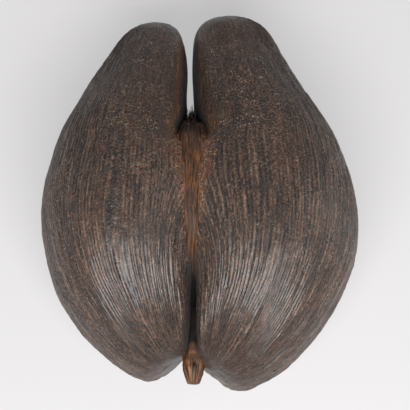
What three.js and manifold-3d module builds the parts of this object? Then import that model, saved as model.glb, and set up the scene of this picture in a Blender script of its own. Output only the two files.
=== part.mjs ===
// Coco de mer nut, lying on its flatter side. Millimetres, +Z up.
// The open slot between the lobes points to +Y and the stalk end to -Y.
// The nut grew in one piece, so it is one closed solid: two lobes joined along
// the cleft plane, with a short stalk stub in the near end of the cleft.

import * as THREE from "three";
import { mergeVertices } from "three/addons/utils/BufferGeometryUtils.js";
import Module from "manifold-3d";

const SHELL_COLOUR = 0x4a3f38;
const SHELL_ROUGHNESS = 0.6;

// The cleft plane sits left of the middle, because the right lobe is the fuller one.
const CLEFT_X = -6.4;
const CENTRE_Y = 2.3;

// Each lobe is lofted through stations from the tip of its slot end to the stalk.
// A station is [outer x, outer y, inner x, inner y, crown z, belly z],
// with x measured from the cleft plane. The first and last stations are points.
const RIGHT_LOBE = [
  [28, 160, 28, 160, 72, 72],
  [46, 157, 12, 154, 90, 52],
  [67, 143, 3, 141, 108, 34],
  [83, 111, 1, 115, 122, 18],
  [99, 80, 2.5, 84, 137, 9],
  [121, 38, 2, 43, 154, 2],
  [136, -11, 0, -4, 165, -2],
  [134, -57, 0, -48, 163, -2],
  [116, -101, 2.5, -85, 150, 5],
  [84, -141, 3, -115, 130, 16],
  [43, -165, 5.5, -138, 101, 38],
  [14, -151, 14, -151, 68, 68],
];
const LEFT_LOBE = [
  [-28, 153, -28, 153, 72, 72],
  [-44, 150, -14, 148, 90, 53],
  [-61, 137, -7, 136, 106, 35],
  [-78, 109, -3, 112, 121, 19],
  [-94, 78, -3.5, 84, 136, 9],
  [-112, 38, -2, 43, 154, 2],
  [-124, -10, 0, -4, 165, -2],
  [-120, -54, 0, -48, 163, -2],
  [-105, -97, -2.5, -85, 149, 5],
  [-76, -133, -3, -113, 129, 17],
  [-38, -157, -4.5, -133, 100, 38],
  [-10, -141, -10, -141, 68, 68],
];

// The fibrous strip that floors both valleys and webs the cleft, in the same kind
// of stations.
const STRIP = [
  [0, 64, 0, 64, 70, 70],
  [4, 59, -4, 59, 92, 60],
  [8, 50, -8, 50, 115, 40],
  [13, 38, -13, 38, 131, 25],
  [17, 24, -17, 24, 143, 16],
  [14, 4, -14, 4, 150, 12.6],
  [11, -18, -11, -18, 150.4, 12.8],
  [8, -42, -8, -42, 142, 20],
  [5.5, -64, -5.5, -64, 126, 34],
  [4, -86, -4, -86, 100, 55],
  [4.5, -108, -4.5, -108, 90, 55],
  [5, -124, -5, -124, 84, 58],
  [0, -136, 0, -136, 71, 71],
];

// Cross-sections are squarer towards the cleft than towards the flank.
const OUTER_SQUARENESS = 2.15;
const INNER_SQUARENESS = 2.5;
const STRIP_SQUARENESS = 3.5;

// The strip along which the lobes are joined, as a share of a lobe's half width.
// It is widest under the valley and runs out into the slot and into the cleft.
const VALLEY_SHARE = 0.3;
const CLEFT_TO_VALLEY = [-100, -8];
const VALLEY_TO_SLOT = [14, 38];
const JOIN_OVERLAP = 0.15;

// Stalk stub: radius by distance along it, from deep in the cleft to its tip.
const STUB_PROFILE = [
  [0, 0],
  [6.5, 0],
  [6.5, 22],
  [7.5, 34],
  [9.2, 44],
  [8.4, 51],
  [5.8, 58],
  [4.6, 61],
  [0, 62],
];
const STUB_SIDES = 14;
const STUB_START = [0.5, -96, 70];
const STUB_DROOP = 0.06;

const STATION_STEPS = 40;
const GIRTH_STEPS = 52;
const INWARD_CROWDING = 0.4;
const STRIP_GIRTH_STEPS = 20;
const STRIP_STATION_STEPS = 24;
const FLOOR_CUT = 400;

// One coordinate of a rail at t stations, running on into the opposite rail at both ends.
function alongRail(rows, own, opposite, t) {
  const last = rows.length - 1;
  const at = (i) => {
    if (i < 0) return rows[-i][opposite];
    if (i > last) return rows[2 * last - i][opposite];
    return rows[i][own];
  };
  const k = Math.min(Math.floor(t), last - 1);
  const f = t - k;
  const [p0, p1, p2, p3] = [at(k - 1), at(k), at(k + 1), at(k + 2)];
  const slope = (p2 - p0) * f;
  const bend = (2 * p0 - 5 * p1 + 4 * p2 - p3) * f * f;
  const twist = (3 * p1 - p0 - 3 * p2 + p3) * f * f * f;
  return (2 * p1 + slope + bend + twist) / 2;
}

function joinedShare(y) {
  const valley = THREE.MathUtils.smoothstep(y, ...CLEFT_TO_VALLEY);
  const slot = THREE.MathUtils.smoothstep(y, ...VALLEY_TO_SLOT);
  return VALLEY_SHARE * valley * (1 - slot);
}

// Draws the lobe's inner side onto the cleft plane, with a rounded valley beside it.
function drawnToCleft(x, y, halfWidth) {
  const half = joinedShare(y) * halfWidth;
  if (half < 0.01) return x;
  if (x <= half) return (x - half) * JOIN_OVERLAP;
  return Math.sqrt(x * x - half * half);
}

function rounded(value, squareness) {
  return Math.sign(value) * Math.abs(value) ** (2 / squareness);
}

// A point of the loft at t stations, at an angle round its girth from the outer side.
function loftPoint(rows, t, girth, squareness) {
  const across = rounded(Math.cos(girth), squareness);
  const up = rounded(Math.sin(girth), squareness);
  const between = (own, opposite, share) => {
    const here = alongRail(rows, own, opposite, t);
    const facing = alongRail(rows, opposite, own, t);
    return (here + facing) / 2 + ((here - facing) / 2) * share;
  };
  const halfWidth = Math.abs(alongRail(rows, 0, 2, t) - alongRail(rows, 2, 0, t)) / 2;
  return {
    x: between(0, 2, across),
    y: between(1, 3, across),
    z: between(4, 5, up),
    halfWidth,
  };
}

function loft(rows, side, girthSteps, stationSteps, place) {
  const geometry = new THREE.SphereGeometry(1, girthSteps, stationSteps);
  const position = geometry.getAttribute("position");
  for (let i = 0; i < position.count; i += 1) {
    const polar = Math.acos(THREE.MathUtils.clamp(position.getY(i), -1, 1));
    const t = (polar / Math.PI) * (rows.length - 1);
    const girth = Math.atan2(position.getZ(i), side * position.getX(i));
    const point = place(t, girth);
    position.setXYZ(i, CLEFT_X + point.x, CENTRE_Y + point.y, point.z);
  }
  return geometry;
}

function lobe(rows, side) {
  return loft(rows, side, GIRTH_STEPS, STATION_STEPS, (t, evenGirth) => {
    const girth = evenGirth + INWARD_CROWDING * Math.sin(evenGirth);
    const outward = 0.5 + 0.5 * Math.tanh(3 * Math.cos(girth));
    const squareness = THREE.MathUtils.lerp(INNER_SQUARENESS, OUTER_SQUARENESS, outward);
    const point = loftPoint(rows, t, girth, squareness);
    point.x = side * drawnToCleft(side * point.x, point.y, point.halfWidth);
    return point;
  });
}

function strip() {
  return loft(STRIP, 1, STRIP_GIRTH_STEPS, STRIP_STATION_STEPS, (t, girth) =>
    loftPoint(STRIP, t, girth, STRIP_SQUARENESS),
  );
}

function stub() {
  const profile = STUB_PROFILE.map(([radius, along]) => new THREE.Vector2(radius, along));
  const geometry = new THREE.LatheGeometry(profile, STUB_SIDES);
  geometry.rotateZ(Math.PI);
  const position = geometry.getAttribute("position");
  for (let i = 0; i < position.count; i += 1) {
    const along = -position.getY(i);
    position.setZ(i, position.getZ(i) - STUB_DROOP * along);
  }
  geometry.translate(
    CLEFT_X + STUB_START[0],
    STUB_START[1] + CENTRE_Y,
    STUB_START[2],
  );
  return geometry;
}

const wasm = await Module();
wasm.setup();

function toSolid(geometry) {
  geometry.deleteAttribute("normal");
  geometry.deleteAttribute("uv");
  const merged = mergeVertices(geometry);
  return new wasm.Manifold(
    new wasm.Mesh({
      numProp: 3,
      vertProperties: new Float32Array(merged.getAttribute("position").array),
      triVerts: new Uint32Array(merged.getIndex().array),
    }),
  );
}

function toGeometry(solid) {
  const mesh = solid.getMesh();
  const geometry = new THREE.BufferGeometry();
  const points = new THREE.BufferAttribute(new Float32Array(mesh.vertProperties), 3);
  geometry.setAttribute("position", points);
  geometry.setIndex(new THREE.BufferAttribute(new Uint32Array(mesh.triVerts), 1));
  geometry.computeVertexNormals();
  return geometry;
}

const aboveFloor = new THREE.BoxGeometry(FLOOR_CUT, FLOOR_CUT, FLOOR_CUT);
aboveFloor.translate(0, 0, FLOOR_CUT / 2);

const nut = toSolid(lobe(RIGHT_LOBE, 1))
  .add(toSolid(lobe(LEFT_LOBE, -1)))
  .add(toSolid(strip()))
  .add(toSolid(stub()))
  .intersect(toSolid(aboveFloor));

const group = new THREE.Group();
const shell = new THREE.Mesh(
  toGeometry(nut),
  new THREE.MeshStandardMaterial({
    color: SHELL_COLOUR,
    roughness: SHELL_ROUGHNESS,
    metalness: 0,
  }),
);
shell.name = "nut";
group.add(shell);

export default group;
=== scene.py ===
"""Looks of the coco de mer nut: finely ridged shell, fibrous valley, stalk stub and slot fibres."""

import math

import bpy
import numpy as np
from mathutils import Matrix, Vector


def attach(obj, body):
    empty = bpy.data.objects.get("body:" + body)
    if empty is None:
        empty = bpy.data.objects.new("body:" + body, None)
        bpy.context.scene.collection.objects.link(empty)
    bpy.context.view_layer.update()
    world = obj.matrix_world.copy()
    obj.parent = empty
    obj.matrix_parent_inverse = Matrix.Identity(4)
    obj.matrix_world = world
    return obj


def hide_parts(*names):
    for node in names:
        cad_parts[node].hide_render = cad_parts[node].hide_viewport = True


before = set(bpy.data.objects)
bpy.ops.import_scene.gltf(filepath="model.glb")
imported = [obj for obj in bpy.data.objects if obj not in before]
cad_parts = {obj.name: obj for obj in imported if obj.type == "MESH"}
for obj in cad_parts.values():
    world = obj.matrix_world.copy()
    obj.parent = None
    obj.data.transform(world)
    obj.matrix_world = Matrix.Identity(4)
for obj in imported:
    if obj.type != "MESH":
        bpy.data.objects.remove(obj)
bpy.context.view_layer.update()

MM = 0.001
# Where the cleft plane and the middle of the loft stations sit in the frame, in mm.
CLEFT_X = -6.4
CENTRE_Y = 2.3
# Mean girth radius and station length of a lobe, and the distance between ridges, in mm.
GIRTH_RADIUS = 74
STATION_LENGTH = 36
RIDGE_PITCH = 3.3
# Squareness of a lobe's section towards the cleft and away from it.
INNER_SQUARENESS = 2.5
OUTER_SQUARENESS = 2.15

# Stations of each loft: outer x, outer y, inner x, inner y, crown z, belly z, in mm.
RIGHT_LOBE = np.array([
    [28, 160, 28, 160, 72, 72],
    [46, 157, 12, 154, 90, 52],
    [67, 143, 2.2, 141, 108, 34],
    [83, 111, 0, 115, 122, 18],
    [99, 80, 1, 84, 137, 9],
    [121, 38, 2, 43, 154, 2],
    [136, -11, 0, -4, 165, -2],
    [134, -57, 0, -48, 163, -2],
    [116, -101, 3, -85, 150, 5],
    [84, -141, 3, -115, 130, 16],
    [43, -165, 5.5, -138, 101, 38],
    [14, -151, 14, -151, 68, 68],
], float)
LEFT_LOBE = np.array([
    [-28, 153, -28, 153, 72, 72],
    [-44, 150, -14, 148, 90, 53],
    [-61, 137, -7, 136, 106, 35],
    [-78, 109, -3, 112, 121, 19],
    [-94, 78, -3.5, 84, 136, 9],
    [-112, 38, -2, 43, 154, 2],
    [-124, -10, 0, -4, 165, -2],
    [-120, -54, 0, -48, 163, -2],
    [-105, -97, -0.2, -85, 149, 5],
    [-76, -133, -0.8, -113, 129, 17],
    [-38, -157, -3, -133, 100, 38],
    [-10, -141, -10, -141, 68, 68],
], float)
STRIP = np.array([
    [0, 64, 0, 64, 70, 70],
    [4, 59, -4, 59, 92, 60],
    [8, 50, -8, 50, 115, 40],
    [13, 38, -13, 38, 131, 25],
    [17, 24, -17, 24, 143, 16],
    [14, 4, -14, 4, 149, 13.4],
    [11, -18, -11, -18, 149.6, 13.6],
    [8, -42, -8, -42, 146, 20],
    [5.5, -64, -5.5, -64, 130, 34],
    [4, -86, -4, -86, 88, 45],
    [4.5, -108, -4.5, -108, 66, 45],
    [5, -124, -5, -124, 64, 45],
    [0, -136, 0, -136, 55, 55],
], float)
STUB_PROFILE = np.array([
    [6.5, 0], [6.5, 22], [7.5, 34], [9.2, 44], [8.4, 51], [5.8, 58], [4.6, 61], [0.01, 62],
], float)
STUB_START = (1.8, -99, 70)
STUB_DROOP = 0.06

rng = np.random.default_rng(7)


# ---------------------------------------------------------------- noise

def hashed(ix, iy, iz, seed):
    """A repeatable number from 0 to 1 for each lattice point."""
    h = (ix.astype(np.int64) * 73856093) ^ (iy.astype(np.int64) * 19349663)
    h = h ^ (iz.astype(np.int64) * 83492791) ^ (seed * 2654435761)
    h = (h ^ (h >> 13)) & 0x7FFFFFFF
    h = (h * 1103515245 + 12345) & 0x7FFFFFFF
    h = (h ^ (h >> 15)) & 0x7FFFFFFF
    h = (h * 1103515245 + 12345) & 0x7FFFFFFF
    return h / 0x7FFFFFFF


def noise(x, y, z=0.0, seed=0):
    """Smooth value noise from -1 to 1."""
    x, y, z = np.broadcast_arrays(x, y, z)
    ix, iy, iz = np.floor(x), np.floor(y), np.floor(z)
    fx, fy, fz = x - ix, y - iy, z - iz
    fx, fy, fz = (f * f * f * (f * (f * 6 - 15) + 10) for f in (fx, fy, fz))
    total = np.zeros(x.shape)
    for dx in (0, 1):
        for dy in (0, 1):
            for dz in (0, 1):
                weight = (fx if dx else 1 - fx) * (fy if dy else 1 - fy) * (fz if dz else 1 - fz)
                total += weight * hashed(ix + dx, iy + dy, iz + dz, seed)
    return total * 2 - 1


def layered(x, y, z=0.0, seed=0, octaves=3):
    total, size = 0.0, 1.0
    for k in range(octaves):
        total = total + size * noise(x * 2**k, y * 2**k, np.asarray(z) * 2**k, seed + 11 * k)
        size *= 0.5
    return total / 1.75


def smooth(x, low, high):
    f = np.clip((x - low) / (high - low), 0, 1)
    return f * f * (3 - 2 * f)


# ---------------------------------------------------------------- lofts

def along_rail(own, opposite, t):
    """A rail at t stations, running on into the opposite rail at both ends."""
    last = len(own) - 1
    run = np.concatenate([opposite[1:2], own, opposite[last - 1:last]])
    k = np.clip(np.floor(t).astype(int), 0, last - 1)
    f = t - k
    p0, p1, p2, p3 = run[k], run[k + 1], run[k + 2], run[k + 3]
    bend = (2 * p0 - 5 * p1 + 4 * p2 - p3) * f * f
    twist = (3 * p1 - p0 - 3 * p2 + p3) * f**3
    return (2 * p1 + (p2 - p0) * f + bend + twist) / 2


def rounded(value, squareness):
    return np.sign(value) * np.abs(value) ** (2 / squareness)


def loft(rows, t, girth, squareness):
    """Points of a loft, and the half width of the loft at each of them."""
    across = rounded(np.cos(girth), squareness)
    up = rounded(np.sin(girth), squareness)

    def between(own, opposite, share):
        here = along_rail(rows[:, own], rows[:, opposite], t)
        facing = along_rail(rows[:, opposite], rows[:, own], t)
        return (here + facing) / 2 + (here - facing) / 2 * share

    x, y, z = between(0, 2, across), between(1, 3, across), between(4, 5, up)
    outer = along_rail(rows[:, 0], rows[:, 2], t)
    inner = along_rail(rows[:, 2], rows[:, 0], t)
    return x, y, z, np.abs(outer - inner) / 2


def joined_share(y):
    return 0.3 * smooth(y, -100, -8) * (1 - smooth(y, 14, 38))


def grid_normals(points):
    du = np.gradient(points, axis=1)
    dv = np.gradient(points, axis=0)
    n = np.cross(du, dv)
    length = np.linalg.norm(n, axis=-1, keepdims=True)
    return n / np.maximum(length, 1e-9)


def mesh_from_grid(name, points, keep=None, attributes=None, material=None, flip=False):
    """A smooth mesh from a grid of points in mm, with a UV map laid out like the grid."""
    rows, columns = points.shape[:2]
    index = np.arange(rows * columns).reshape(rows, columns)
    faces = np.stack([index[:-1, :-1], index[:-1, 1:], index[1:, 1:], index[1:, :-1]], -1)
    faces = faces.reshape(-1, 4)
    if flip:
        faces = faces[:, ::-1]
    if keep is not None:
        faces = faces[keep.reshape(-1)]
    used = np.zeros(rows * columns, bool)
    used[faces.reshape(-1)] = True
    renumber = np.cumsum(used) - 1
    faces = renumber[faces]
    places = points.reshape(-1, 3)[used] * MM
    mesh = bpy.data.meshes.new(name)
    mesh.vertices.add(len(places))
    mesh.vertices.foreach_set("co", places.astype(np.float32).reshape(-1))
    mesh.loops.add(faces.size)
    mesh.loops.foreach_set("vertex_index", faces.astype(np.int32).reshape(-1))
    mesh.polygons.add(len(faces))
    mesh.polygons.foreach_set("loop_start", np.arange(0, faces.size, 4, dtype=np.int32))
    mesh.update(calc_edges=True)
    mesh.polygons.foreach_set("use_smooth", np.ones(len(faces), bool))
    v, u = np.meshgrid(np.linspace(0, 1, rows), np.linspace(0, 1, columns), indexing="ij")
    uv = np.stack([u, v], -1).reshape(-1, 2)[used]
    layer = mesh.uv_layers.new(name="OFBake")
    layer.data.foreach_set("uv", uv[faces.reshape(-1)].astype(np.float32).reshape(-1))
    for key, values in (attributes or {}).items():
        values = values.reshape(rows * columns, -1)[used]
        kind = "FLOAT_VECTOR" if values.shape[1] == 3 else "FLOAT"
        field = "vector" if values.shape[1] == 3 else "value"
        made = mesh.attributes.new(key, kind, "POINT")
        made.data.foreach_set(field, values.astype(np.float32).reshape(-1))
    mesh.validate()
    mesh.update()
    made = bpy.data.objects.new(name, mesh)
    bpy.context.collection.objects.link(made)
    if material:
        mesh.materials.append(material)
    return made


# ---------------------------------------------------------------- materials

def srgb(r, g, b):
    def linear(c):
        c /= 255
        return c / 12.92 if c <= 0.04045 else ((c + 0.055) / 1.055) ** 2.4
    return (linear(r), linear(g), linear(b), 1)


class Nodes:
    """Short ways to add nodes to one material."""

    def __init__(self, name):
        self.material = bpy.data.materials.new(name)
        self.material.use_nodes = True
        self.tree = self.material.node_tree
        self.shader = self.tree.nodes["Principled BSDF"]

    def add(self, kind, **inputs):
        node = self.tree.nodes.new(kind)
        for key, value in inputs.items():
            self.feed(node.inputs[key.replace("_", " ")], value)
        return node

    def feed(self, socket, value):
        if isinstance(value, bpy.types.NodeSocket):
            self.tree.links.new(value, socket)
        else:
            socket.default_value = value

    def attribute(self, name, vector=False):
        node = self.tree.nodes.new("ShaderNodeAttribute")
        node.attribute_name = name
        return node.outputs["Vector" if vector else "Fac"]

    def place(self):
        return self.tree.nodes.new("ShaderNodeTexCoord").outputs["Object"]

    def stretched(self, vector, x, y, z):
        node = self.tree.nodes.new("ShaderNodeMapping")
        self.feed(node.inputs["Vector"], vector)
        node.inputs["Scale"].default_value = (x, y, z)
        return node.outputs["Vector"]

    def noise(self, vector, scale, detail=4.0, rough=0.6, warp=0.0):
        node = self.add("ShaderNodeTexNoise", Vector=vector, Scale=scale, Detail=detail,
                        Roughness=rough, Distortion=warp)
        return node.outputs[0]

    def span(self, value, low, high, to_low=0.0, to_high=1.0):
        node = self.tree.nodes.new("ShaderNodeMapRange")
        node.interpolation_type = "SMOOTHSTEP"
        self.feed(node.inputs["Value"], value)
        for key, amount in (("From Min", low), ("From Max", high),
                            ("To Min", to_low), ("To Max", to_high)):
            self.feed(node.inputs[key], amount)
        return node.outputs["Result"]

    def maths(self, operation, a, b=0.0):
        node = self.tree.nodes.new("ShaderNodeMath")
        node.operation = operation
        self.feed(node.inputs[0], a)
        self.feed(node.inputs[1], b)
        return node.outputs[0]

    def mix(self, share, a, b, blend="MIX"):
        node = self.tree.nodes.new("ShaderNodeMix")
        node.data_type = "RGBA"
        node.blend_type = blend
        self.feed(node.inputs["Factor"], share)
        self.feed(node.inputs[6], a)
        self.feed(node.inputs[7], b)
        return node.outputs[2]

    def bump(self, height, strength, distance):
        node = self.add("ShaderNodeBump", Strength=strength, Distance=distance, Height=height)
        return node.outputs["Normal"]


def shell_material():
    n = Nodes("nut_shell")
    flow = n.attribute("flow", vector=True)
    place = n.place()
    warm = n.attribute("warm")
    ridge = n.attribute("ridge")
    grain = n.attribute("grain")
    shade = n.attribute("shade")

    streaks = n.noise(n.stretched(flow, 0.30, 0.03, 1.0), 1.0, 5.0, 0.65)
    fine_streaks = n.noise(n.stretched(flow, 0.75, 0.08, 1.0), 1.0, 3.0, 0.7)
    grains = n.noise(place, 520.0, 2.0, 0.6, 0.9)
    coarse = n.noise(n.stretched(flow, 0.42, 0.22, 1.0), 1.0, 3.0, 0.7, 0.6)
    specks = n.noise(place, 640.0, 1.0, 0.5)
    patches = n.noise(place, 16.0, 4.0, 0.55)
    clumps = n.noise(place, 60.0, 3.0, 0.6)

    share = n.span(grain, 0.0, 1.0, 0.45, 0.85)
    lights = n.maths("ADD", n.maths("MULTIPLY", grains, share),
                     n.maths("MULTIPLY", coarse, n.maths("SUBTRACT", 1.0, share)))
    colour = n.mix(n.span(lights, 0.44, 0.58), srgb(7, 4, 3), srgb(90, 64, 48))
    colour = n.mix(n.span(streaks, 0.36, 0.60, 0.35, 1.0), srgb(26, 17, 12), colour)
    colour = n.mix(n.span(patches, 0.45, 0.70, 0.0, 0.4), colour, srgb(54, 31, 17))
    # Painted sheen: light grey on the ridge tops, broken up along the fine streaks and weaker where
    # the shell is grainy.
    sheen_streaks = n.span(fine_streaks, 0.44, 0.58, 0.0, 0.85)
    painted_ridge_sheen = n.maths("MULTIPLY", n.span(ridge, -0.2, 1.0), sheen_streaks)
    painted_ridge_sheen = n.maths("MULTIPLY", painted_ridge_sheen, n.span(grain, 0.35, 1.0, 1.0, 0.4))
    colour = n.mix(painted_ridge_sheen, colour, srgb(112, 92, 79))
    # Painted shade: near black in the furrows between the ridges.
    colour = n.mix(n.span(ridge, -0.1, -0.8, 0.0, 0.85), colour, srgb(12, 8, 6))
    colour = n.mix(n.maths("MULTIPLY", grain, 0.7), colour, (1.0, 0.76, 0.56, 1), "MULTIPLY")
    rusty = n.maths("MULTIPLY", warm, n.span(lights, 0.40, 0.58, 0.15, 1.0))
    colour = n.mix(rusty, colour, srgb(114, 70, 37))
    loose = n.maths("MULTIPLY", n.span(specks, 0.60, 0.68), n.span(clumps, 0.42, 0.58, 0.15, 1.0))
    colour = n.mix(n.maths("MULTIPLY", loose, grain), colour, srgb(138, 120, 100))
    colour = n.mix(shade, colour, srgb(7, 5, 4))
    n.feed(n.shader.inputs["Base Color"], colour)

    rough = n.span(fine_streaks, 0.38, 0.62, 0.56, 0.22)
    rough = n.maths("ADD", rough, n.span(lights, 0.42, 0.60, 0.16, -0.04))
    rough = n.maths("MAXIMUM", rough, shade)
    n.feed(n.shader.inputs["Roughness"], rough)

    height = n.maths("ADD", n.maths("MULTIPLY", fine_streaks, 0.7), grains)
    height = n.maths("ADD", height, coarse)
    n.feed(n.shader.inputs["Normal"], n.bump(height, 1.0, 0.0028))
    n.shader.inputs["IOR"].default_value = 1.55
    n.shader.inputs["Coat Weight"].default_value = 0.4
    n.shader.inputs["Coat Roughness"].default_value = 0.34
    return n.material


def fibre_material(name, dark, light, rough):
    n = Nodes(name)
    flow = n.attribute("flow", vector=True)
    place = n.place()
    strands = n.noise(n.stretched(flow, 0.9, 0.05, 1.0), 1.0, 5.0, 0.7)
    patches = n.noise(place, 40.0, 3.0, 0.6)
    fine = n.noise(place, 500.0, 2.0, 0.6)
    colour = n.mix(n.span(strands, 0.40, 0.60), dark, light)
    colour = n.mix(n.span(patches, 0.40, 0.68, 0.0, 0.7), colour, srgb(58, 46, 40))
    colour = n.mix(n.attribute("shade"), colour, srgb(9, 6, 5))
    n.feed(n.shader.inputs["Base Color"], colour)
    gloss = n.span(strands, 0.3, 0.7, rough + 0.12, rough - 0.1)
    n.feed(n.shader.inputs["Roughness"], n.maths("MAXIMUM", gloss, n.attribute("shade")))
    height = n.maths("ADD", strands, n.maths("MULTIPLY", fine, 0.4))
    n.feed(n.shader.inputs["Normal"], n.bump(height, 0.6, 0.0008))
    n.shader.inputs["Specular IOR Level"].default_value = 0.25
    return n.material


shell = shell_material()
strip_look = fibre_material("valley_fibre", srgb(12, 7, 4), srgb(84, 56, 38), 0.7)
stub_look = fibre_material("stub_wood", srgb(18, 10, 6), srgb(112, 74, 44), 0.5)
loose_fibre = fibre_material("loose_fibre", srgb(24, 14, 8), srgb(112, 74, 46), 0.6)
dark_fibre = fibre_material("dark_fibre", srgb(16, 12, 10), srgb(52, 34, 22), 0.7)


# ---------------------------------------------------------------- lobes

def lobe(name, rows, side, seed, girth_steps=600, station_steps=164):
    last = len(rows) - 1
    t, even = np.meshgrid(
        np.linspace(0.0005, last - 0.0005, station_steps + 1),
        np.linspace(-math.pi, math.pi, girth_steps + 1),
        indexing="ij",
    )
    girth = even + 0.12 * np.sin(even)
    outward = 0.5 + 0.5 * np.tanh(3 * np.cos(girth))
    x, y, z, half_width = loft(
        rows, t, girth, INNER_SQUARENESS + (OUTER_SQUARENESS - INNER_SQUARENESS) * outward)
    away = x * side
    half = joined_share(y) * half_width
    drawn = np.sqrt(np.maximum(away * away - half * half, 0))
    inside = (half > 0.01) & (away <= half)
    drawn = np.where(half > 0.01, np.where(inside, (away - half) * 0.15, drawn), away)
    points = np.stack([side * drawn, y, z], -1)
    normal = grid_normals(points) * side

    arc = girth * GIRTH_RADIUS
    run = t * STATION_LENGTH
    girth_size = half_width / 62
    body = smooth(girth_size, 0.12, 0.55)
    bent = arc + 5 * noise(arc / 45, run / 90, seed=seed)
    bent = bent + 1.6 * noise(arc / 12, run / 40, seed=seed + 1)
    drift = 2.6 * noise(arc / 9, run / 36, seed=seed + 2)
    wave = np.cos(2 * math.pi * bent / RIDGE_PITCH + drift)
    broken = noise(bent / 2.4, run / 22, seed=seed + 3)
    fine = noise(bent / 1.5, run / 9, seed=seed + 4)
    ridge = 0.55 * wave + 0.6 * broken + 0.35 * fine
    flank = smooth(np.cos(girth), -0.1, 0.75)
    near_end = smooth(-y, 10, 75)
    top = smooth(np.sin(girth), 0.2, 0.8)
    smoother = top * smooth(y, -10, 60) * (1 - flank)
    beside = (1 - smooth(drawn, 12, 36)) * (1 - smooth(y, 0, 30)) * smooth(np.sin(girth), -0.2, 0.4)
    ridged = (0.5 + 0.5 * np.maximum(flank, near_end)) * (1 - 0.6 * smoother) + 0.7 * beside
    pits = noise(x / 2.1, y / 2.6, z / 2.1, seed + 5)
    pits = pits + 0.6 * noise(x / 4.5, y / 5.5, z / 4.5, seed + 6)
    swell = layered(x / 46, y / 60, z / 46, seed + 7)
    ragged = smooth(-y, 128, 158) * noise(x / 7, y / 7, z / 7, seed + 8)
    height = 0.58 * ridge * ridged * body + 0.24 * pits + 0.75 * swell + 0.9 * ragged
    fold = smooth(away - half, 0.5, 10) if half.max() > 0 else 1
    height = height * (0.25 + 0.75 * fold)
    points = points + normal * (height - 0.6)[..., None]
    points[..., 2] = np.maximum(points[..., 2], 0)

    depth_in = smooth(np.abs(np.sin(girth)), 0.25, 0.7)
    apart = np.maximum(drawn, 0)
    rim = 10.5 if side < 0 else 6.0
    rim_width = 2.8 if side < 0 else 2.2
    slot_edge = depth_in * np.exp(-(((apart - rim) / rim_width) ** 2))
    slot_edge = slot_edge * smooth(y, 30, 55) * (1 - smooth(y, 118, 140))
    edge_tint = 0.5 if side > 0 else 1.0
    spread = 6 + 16 * smooth(y, -70, 30)
    valley = (1 - smooth(apart, 0.4 * spread, 1.2 * spread)) * smooth(y, -90, 10)
    valley = valley * (1 - smooth(y, 34, 46))
    crotch = np.exp(-(((away - 13) / 7) ** 2) - (((y - 32) / 14) ** 2))
    blots = smooth(layered(x / 17, y / 30, z / 17, seed + 9), 0.18, 0.5)
    warm = np.clip(edge_tint * slot_edge + 0.75 * valley + 0.3 * crotch + 0.1 * blots, 0, 1)
    grain = np.clip(0.35 + 0.65 * smoother + 0.9 * np.exp(-(((away - 24) / 18) ** 2)
                    - (((y - 34) / 24) ** 2)), 0, 1)
    flow = np.stack([bent, run, np.full_like(run, seed * 3.7)], -1)
    crease = (1 - smooth(away - half, 0.5, 7)) * smooth(y, 20, 34)
    slit = (1 - smooth(away, 3.2, 8)) * smooth(-y, 60, 82)
    mouth = 5 + 0.36 * np.clip(62 - y, 0, 26)
    recess = (1 - smooth(away - mouth, -1.0, 1.2)) * smooth(y, 30, 37)
    wall = (1 - smooth(away, rim - 5.5, rim - 2.5)) * smooth(y, 40, 60)
    wall_shade = 0.9 if side < 0 else 0.45
    shade = 0.85 * crease * (1 - smooth(y, 60, 90)) + 0.7 * slit + 0.9 * recess
    shade = np.clip(shade + wall_shade * wall, 0, 1)

    points[..., 0] += CLEFT_X
    points[..., 1] += CENTRE_Y
    hidden = away < half - 1.5
    corner = hidden[:-1, :-1] & hidden[1:, :-1] & hidden[:-1, 1:] & hidden[1:, 1:]
    # Ridge pattern that sets the painted sheen on the ridge tops and the painted shade in the
    # furrows.
    ridge_sheen_and_shade = ridge * body * (0.6 + 0.5 * ridged)
    return mesh_from_grid(
        name, points, keep=~corner, material=shell, flip=side > 0,
        attributes={"flow": flow, "warm": warm, "ridge": ridge_sheen_and_shade, "grain": grain,
                    "shade": shade},
    )


def strip():
    last = len(STRIP) - 1
    t, girth = np.meshgrid(
        np.linspace(0.0005, last - 0.0005, 241), np.linspace(-math.pi, math.pi, 161),
        indexing="ij",
    )
    x, y, z, _ = loft(STRIP, t, girth, 3.5)
    points = np.stack([x, y, z], -1)
    normal = grid_normals(points)
    cords = 0.8 * noise(x / 1.5, y / 26, 0.0, 41) + 0.6 * noise(x / 0.8, y / 13, 0.0, 42)
    sway = noise(x / 6, y / 30, 0.0, 43)
    points = points + normal * (0.75 * cords + 0.8 * sway)[..., None]
    points[..., 0] += CLEFT_X
    points[..., 1] += CENTRE_Y
    flow = np.stack([x + sway, y, np.zeros_like(x)], -1)
    # Painted shade in the V recess at the strip's top end, broken up by darker cords between the
    # fibres.
    cords_and_recess_shade = 0.35 + 0.5 * smooth(noise(x / 2.2, y / 30, 0.0, 44), -0.1, 0.3)
    shade = cords_and_recess_shade * smooth(y, 26, 46) + 0.9 * smooth(-y, 62, 84) + 0.15 * smooth(-y, 0, 40)
    shade = np.clip(shade, 0, 1)
    return mesh_from_grid("valley_strip", points, material=strip_look, flip=True,
                          attributes={"flow": flow, "shade": shade})


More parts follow.
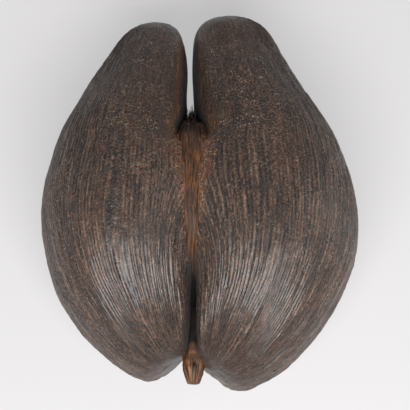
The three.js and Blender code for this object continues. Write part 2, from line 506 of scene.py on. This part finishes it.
def stub():
    steps, sides = 120, 96
    along = np.linspace(0, 62, steps)
    radius = np.interp(along, STUB_PROFILE[:, 1], STUB_PROFILE[:, 0])
    kernel = np.ones(7) / 7
    inner = np.convolve(np.pad(radius, 3, mode="edge"), kernel, "valid")
    radius = np.where(along > 59.5, radius, inner)
    s, a = np.meshgrid(along, np.linspace(-math.pi, math.pi, sides + 1), indexing="ij")
    r = np.repeat(radius[:, None], sides + 1, axis=1)
    facet = 0.9 * np.abs(np.sin(a * 2.5 + 0.9 * np.sin(s / 9))) - 0.4
    grooves = 0.35 * noise(np.cos(a) * 5, np.sin(a) * 5, s / 18, 51)
    chips = 0.9 * noise(np.cos(a) * 2, np.sin(a) * 2, s / 5, 52)
    r = r * (1 + 0.12 * facet) + (grooves + chips) * smooth(r, 0, 4)
    x = STUB_START[0] + r * np.cos(a) + 0.6 * np.sin(s / 14)
    z = STUB_START[2] + r * np.sin(a) - STUB_DROOP * s
    y = STUB_START[1] - s
    points = np.stack([x + CLEFT_X, y + CENTRE_Y, z], -1)
    flow = np.stack([a * 8, s, np.zeros_like(s)], -1)
    shade = 0.95 * (1 - smooth(s, 26, 42))
    return mesh_from_grid("stalk_stub", points, material=stub_look,
                          attributes={"flow": flow, "shade": shade})


# ---------------------------------------------------------------- fibres

def strands(name, paths, radii, material, sides=4):
    """Thin tapered tubes along the given paths, in mm, as one mesh."""
    places, faces, flows = [], [], []
    base = 0
    for i, (path, radius) in enumerate(zip(paths, radii)):
        path = np.asarray(path, float)
        tangent = np.gradient(path, axis=0)
        tangent /= np.linalg.norm(tangent, axis=1, keepdims=True)
        first = np.cross(tangent, [1.0, 0.2, 0.1])
        first /= np.linalg.norm(first, axis=1, keepdims=True)
        second = np.cross(tangent, first)
        taper = radius * (1 - 0.85 * np.linspace(0, 1, len(path)) ** 2)
        for k in range(sides):
            a = 2 * math.pi * k / sides
            ring = path + taper[:, None] * (first * math.cos(a) + second * math.sin(a))
            places.append(ring)
        count = len(path)
        for k in range(sides):
            lower, upper = base + k * count, base + (k + 1) % sides * count
            for j in range(count - 1):
                faces.append((lower + j, lower + j + 1, upper + j + 1, upper + j))
        faces.append(tuple(base + k * count for k in range(sides))[::-1])
        faces.append(tuple(base + k * count + count - 1 for k in range(sides)))
        length = np.linspace(0, 20, count)
        for _ in range(sides):
            flows.append(np.stack([np.full(count, i * 3.1), length, np.zeros(count)], -1))
        base += sides * count
    places = np.concatenate(places) + np.array([CLEFT_X, CENTRE_Y, 0])
    mesh = bpy.data.meshes.new(name)
    mesh.from_pydata((places * MM).tolist(), [], faces)
    mesh.polygons.foreach_set("use_smooth", np.ones(len(mesh.polygons), bool))
    flow = mesh.attributes.new("flow", "FLOAT_VECTOR", "POINT")
    flow.data.foreach_set("vector", np.concatenate(flows).astype(np.float32).reshape(-1))
    mesh.materials.append(material)
    made = bpy.data.objects.new(name, mesh)
    bpy.context.collection.objects.link(made)
    return made


def slot_fibres():
    paths, radii = [], []
    for _ in range(150):
        x = rng.uniform(-3.4, 3.4)
        z = rng.uniform(60, 118)
        y = 59 - 0.0072 * (z - 60) ** 1.9 + rng.uniform(-3, 1)
        length = rng.uniform(6, 20) * (1 - 0.35 * abs(x) / 3.4)
        lean = rng.normal(0, 0.10)
        sag = rng.normal(0, 0.25)
        s = np.linspace(0, 1, 9)
        curl = rng.normal(0, 1.0)
        path = np.stack([
            x * (1 - 0.5 * s) + lean * length * s + 0.5 * np.sin(3 * s + curl),
            y + length * s,
            z + sag * length * s + 0.8 * np.sin(4 * s + 2 * curl),
        ], -1)
        paths.append(path)
        radii.append(rng.uniform(0.22, 0.5))
    return strands("slot_fibres", paths, radii, dark_fibre)


def valley_fibres():
    """Loose fibres lying on the strip, gathered towards the cleft."""
    order = np.argsort(STRIP[:, 1])
    row_y, row_half, row_top = STRIP[order, 1], STRIP[order, 0], STRIP[order, 4]
    paths, radii = [], []
    for _ in range(170):
        start = rng.uniform(-30, 46)
        end = start - rng.uniform(18, 60)
        y = np.linspace(start, max(end, -84), 16)
        across = rng.uniform(-0.9, 0.9)
        wander = 0.5 * np.sin(y / rng.uniform(7, 14) + rng.uniform(0, 6))
        x = across * np.interp(y, row_y, row_half) * 0.75 + wander
        sink = 2.2 * np.abs(across) ** 3
        lift = 0.35 + 0.5 * np.sin(np.linspace(0, math.pi, 16)) * rng.uniform(0, 1)
        z = np.interp(y, row_y, row_top) - sink + lift + 0.4 * wander
        paths.append(np.stack([x, y, z], -1))
        radii.append(rng.uniform(0.25, 0.5))
    return strands("valley_fibres", paths, radii, loose_fibre)


pieces = [
    lobe("right_lobe", RIGHT_LOBE, 1, 3),
    lobe("left_lobe", LEFT_LOBE, -1, 23),
    strip(),
    stub(),
    slot_fibres(),
    valley_fibres(),
]
for piece in pieces:
    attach(piece, "root")
    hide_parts("nut")


# ---------------------------------------------------------------- stage

def floor_material():
    n = Nodes("studio_floor")
    n.shader.inputs["Base Color"].default_value = (0.20, 0.196, 0.198, 1)
    n.shader.inputs["Emission Color"].default_value = (1.0, 0.985, 0.99, 1)
    n.shader.inputs["Emission Strength"].default_value = 0.45
    n.shader.inputs["Roughness"].default_value = 0.7
    return n.material


bpy.ops.mesh.primitive_plane_add(size=6, location=(0, 1.2, -0.0002))
floor = bpy.context.object
floor.name = "studio_floor"
floor.data.materials.append(floor_material())

world = bpy.data.worlds.new("studio")
world.use_nodes = True
world.node_tree.nodes["Background"].inputs["Color"].default_value = (1.0, 0.99, 0.985, 1)
world.node_tree.nodes["Background"].inputs["Strength"].default_value = 0.1
bpy.context.scene.world = world


def softbox(name, place, target, size, power):
    light = bpy.data.lights.new(name, "AREA")
    light.shape = "RECTANGLE"
    light.size, light.size_y = size
    light.energy = power
    lamp = bpy.data.objects.new(name, light)
    lamp.location = place
    lamp.rotation_euler = (Vector(target) - Vector(place)).to_track_quat("-Z", "Y").to_euler()
    bpy.context.collection.objects.link(lamp)


softbox("key", (0.0, -0.95, 1.25), (0, -0.06, 0.1), (1.2, 0.6), 54)
softbox("right", (1.5, 0.1, 0.8), (0, 0, 0.08), (0.9, 1.0), 8)
softbox("left", (-1.5, 0.1, 0.8), (0, 0, 0.08), (0.9, 1.0), 2)

ELEVATION = math.radians(70)
REACH = 1.3
aim = Vector((CLEFT_X, CENTRE_Y, 70)) * MM
camera_data = bpy.data.cameras.new("camera")
camera_data.sensor_width = 36
camera_data.lens = 137
camera_data.shift_x = 0.0325
camera_data.shift_y = -0.0268
camera_data.dof.use_dof = False
camera = bpy.data.objects.new("camera", camera_data)
camera.location = aim + REACH * Vector((0, -math.cos(ELEVATION), math.sin(ELEVATION)))
camera.rotation_euler = (aim - camera.location).to_track_quat("-Z", "Y").to_euler()
bpy.context.collection.objects.link(camera)
bpy.context.scene.camera = camera
bpy.context.scene.view_settings.view_transform = "Standard"
